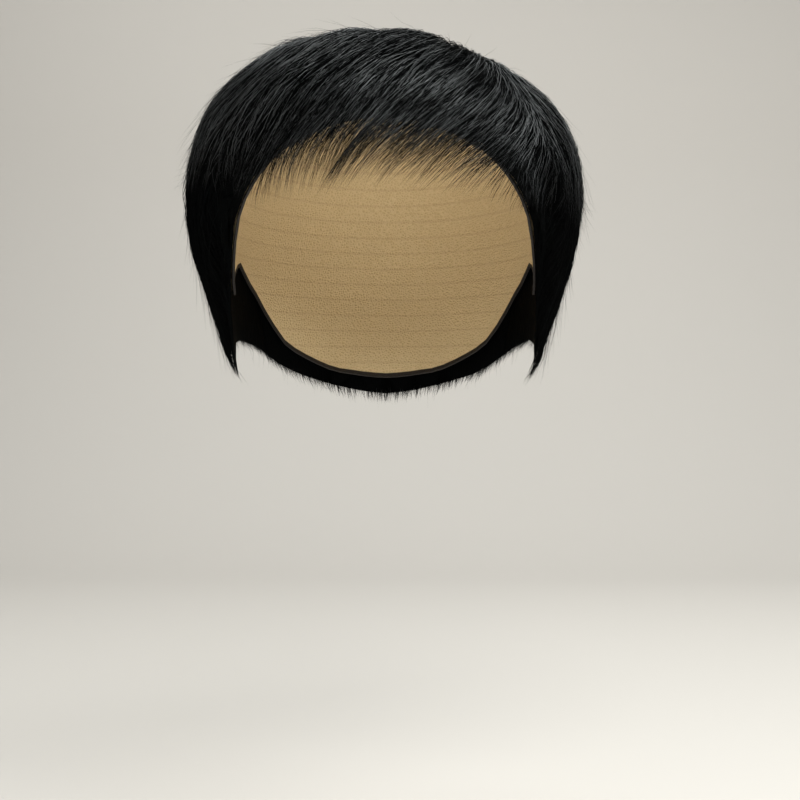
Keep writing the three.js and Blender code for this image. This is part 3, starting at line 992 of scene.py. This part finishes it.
def make_mat_material():
    material, made, links = new_material("hair_mat")
    shader = made["Principled BSDF"]
    place = made.new("ShaderNodeTexCoord")
    stretch = made.new("ShaderNodeMapping")
    stretch.inputs["Scale"].default_value = (900, 900, 120)
    links.new(place.outputs["Object"], stretch.inputs["Vector"])
    tuft = made.new("ShaderNodeTexNoise")
    tuft.inputs["Scale"].default_value = 1.0
    tuft.inputs["Detail"].default_value = 4
    links.new(stretch.outputs["Vector"], tuft.inputs["Vector"])
    fibre = made.new("ShaderNodeGroup")
    fibre.node_tree = hair_group
    links.new(tuft.outputs["Fac"], fibre.inputs["Strand"])
    fibre.inputs["Along"].default_value = 0
    links.new(fibre.outputs["Colour"], shader.inputs["Base Color"])
    shader.inputs["Roughness"].default_value = 0.75
    shader.inputs["Specular IOR Level"].default_value = 0.04
    bump = made.new("ShaderNodeBump")
    bump.inputs["Distance"].default_value = 0.0008
    links.new(tuft.outputs["Fac"], bump.inputs["Height"])
    links.new(bump.outputs["Normal"], shader.inputs["Normal"])
    return material


mat_material = make_mat_material()
print("mat material nodes:", len(mat_material.node_tree.nodes))

# %% Copy a section's solid as its mat
MAT_ABOVE_HEM, MAT_ABOVE_FRONT = 1.0, 2.3  # degrees
FRINGE_ENDS = (34, 46)  # degrees of azimuth over which the second passes into the first
MAT_MERGE = 0.00001  # a solid's loose triangles are joined within this distance


def make_mat(node):
    mat = bpy.data.objects.new(node + "_mat", nodes[node].data.copy())
    bpy.context.scene.collection.objects.link(mat)
    mat.data.materials.clear()
    mat.data.materials.append(mat_material)
    bpy.ops.object.select_all(action="DESELECT")
    mat.select_set(True)
    bpy.context.view_layer.objects.active = mat
    bpy.ops.object.mode_set(mode="EDIT")
    bpy.ops.mesh.select_all(action="SELECT")
    bpy.ops.mesh.remove_doubles(threshold=MAT_MERGE)
    bpy.ops.object.mode_set(mode="OBJECT")
    points = np.empty(len(mat.data.vertices) * 3)
    mat.data.vertices.foreach_get("co", points)
    spokes = points.reshape(-1, 3) - MIDDLE
    reach, ways = np.linalg.norm(spokes, axis=1), unit(spokes)
    fringed = 1 - smoothstep(np.abs(azimuth_of(ways)), *FRINGE_ENDS)
    lowest = dense_edge(ways) + MAT_ABOVE_HEM + (MAT_ABOVE_FRONT - MAT_ABOVE_HEM) * fringed
    level = np.maximum(elevation_of(ways), lowest)
    ways = direction(azimuth_of(ways), level)
    scalp = read(scalp_table, ways)
    reach = scalp + np.minimum(reach - scalp, crown(ways) - scalp) * mat_share(ways)
    mat.data.vertices.foreach_set("co", (MIDDLE + ways * reach[:, None]).ravel())
    mat.data.update()
    bpy.ops.object.shade_smooth()
    return mat


print("mats lie", round(MAT_SHARE * 100), "% of the way out")

# %% [markdown]
# ## All sections together
# Now the sections are grown one after another. Mat and strands are separate pieces, because they need
# different maps, and both stand for the same solid.

# %% Grow the wig


def dress(recipe):
    node = recipe["node"]
    courses, widths, ranks = grow_section(recipe)
    mesh = strand_mesh(node + "_strands", courses, widths, ranks)
    strands = bpy.data.objects.new(mesh.name, mesh)
    bpy.context.scene.collection.objects.link(strands)
    strands.data.materials.append(strand_material)
    for piece in (make_mat(node), strands):
        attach(piece, "root")
        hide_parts(node)
    return strands


for recipe in SECTIONS:
    grown = dress(recipe)
    triangles = sum(len(face.vertices) - 2 for face in grown.data.polygons)
    print(grown.name, "has", triangles, "triangles")
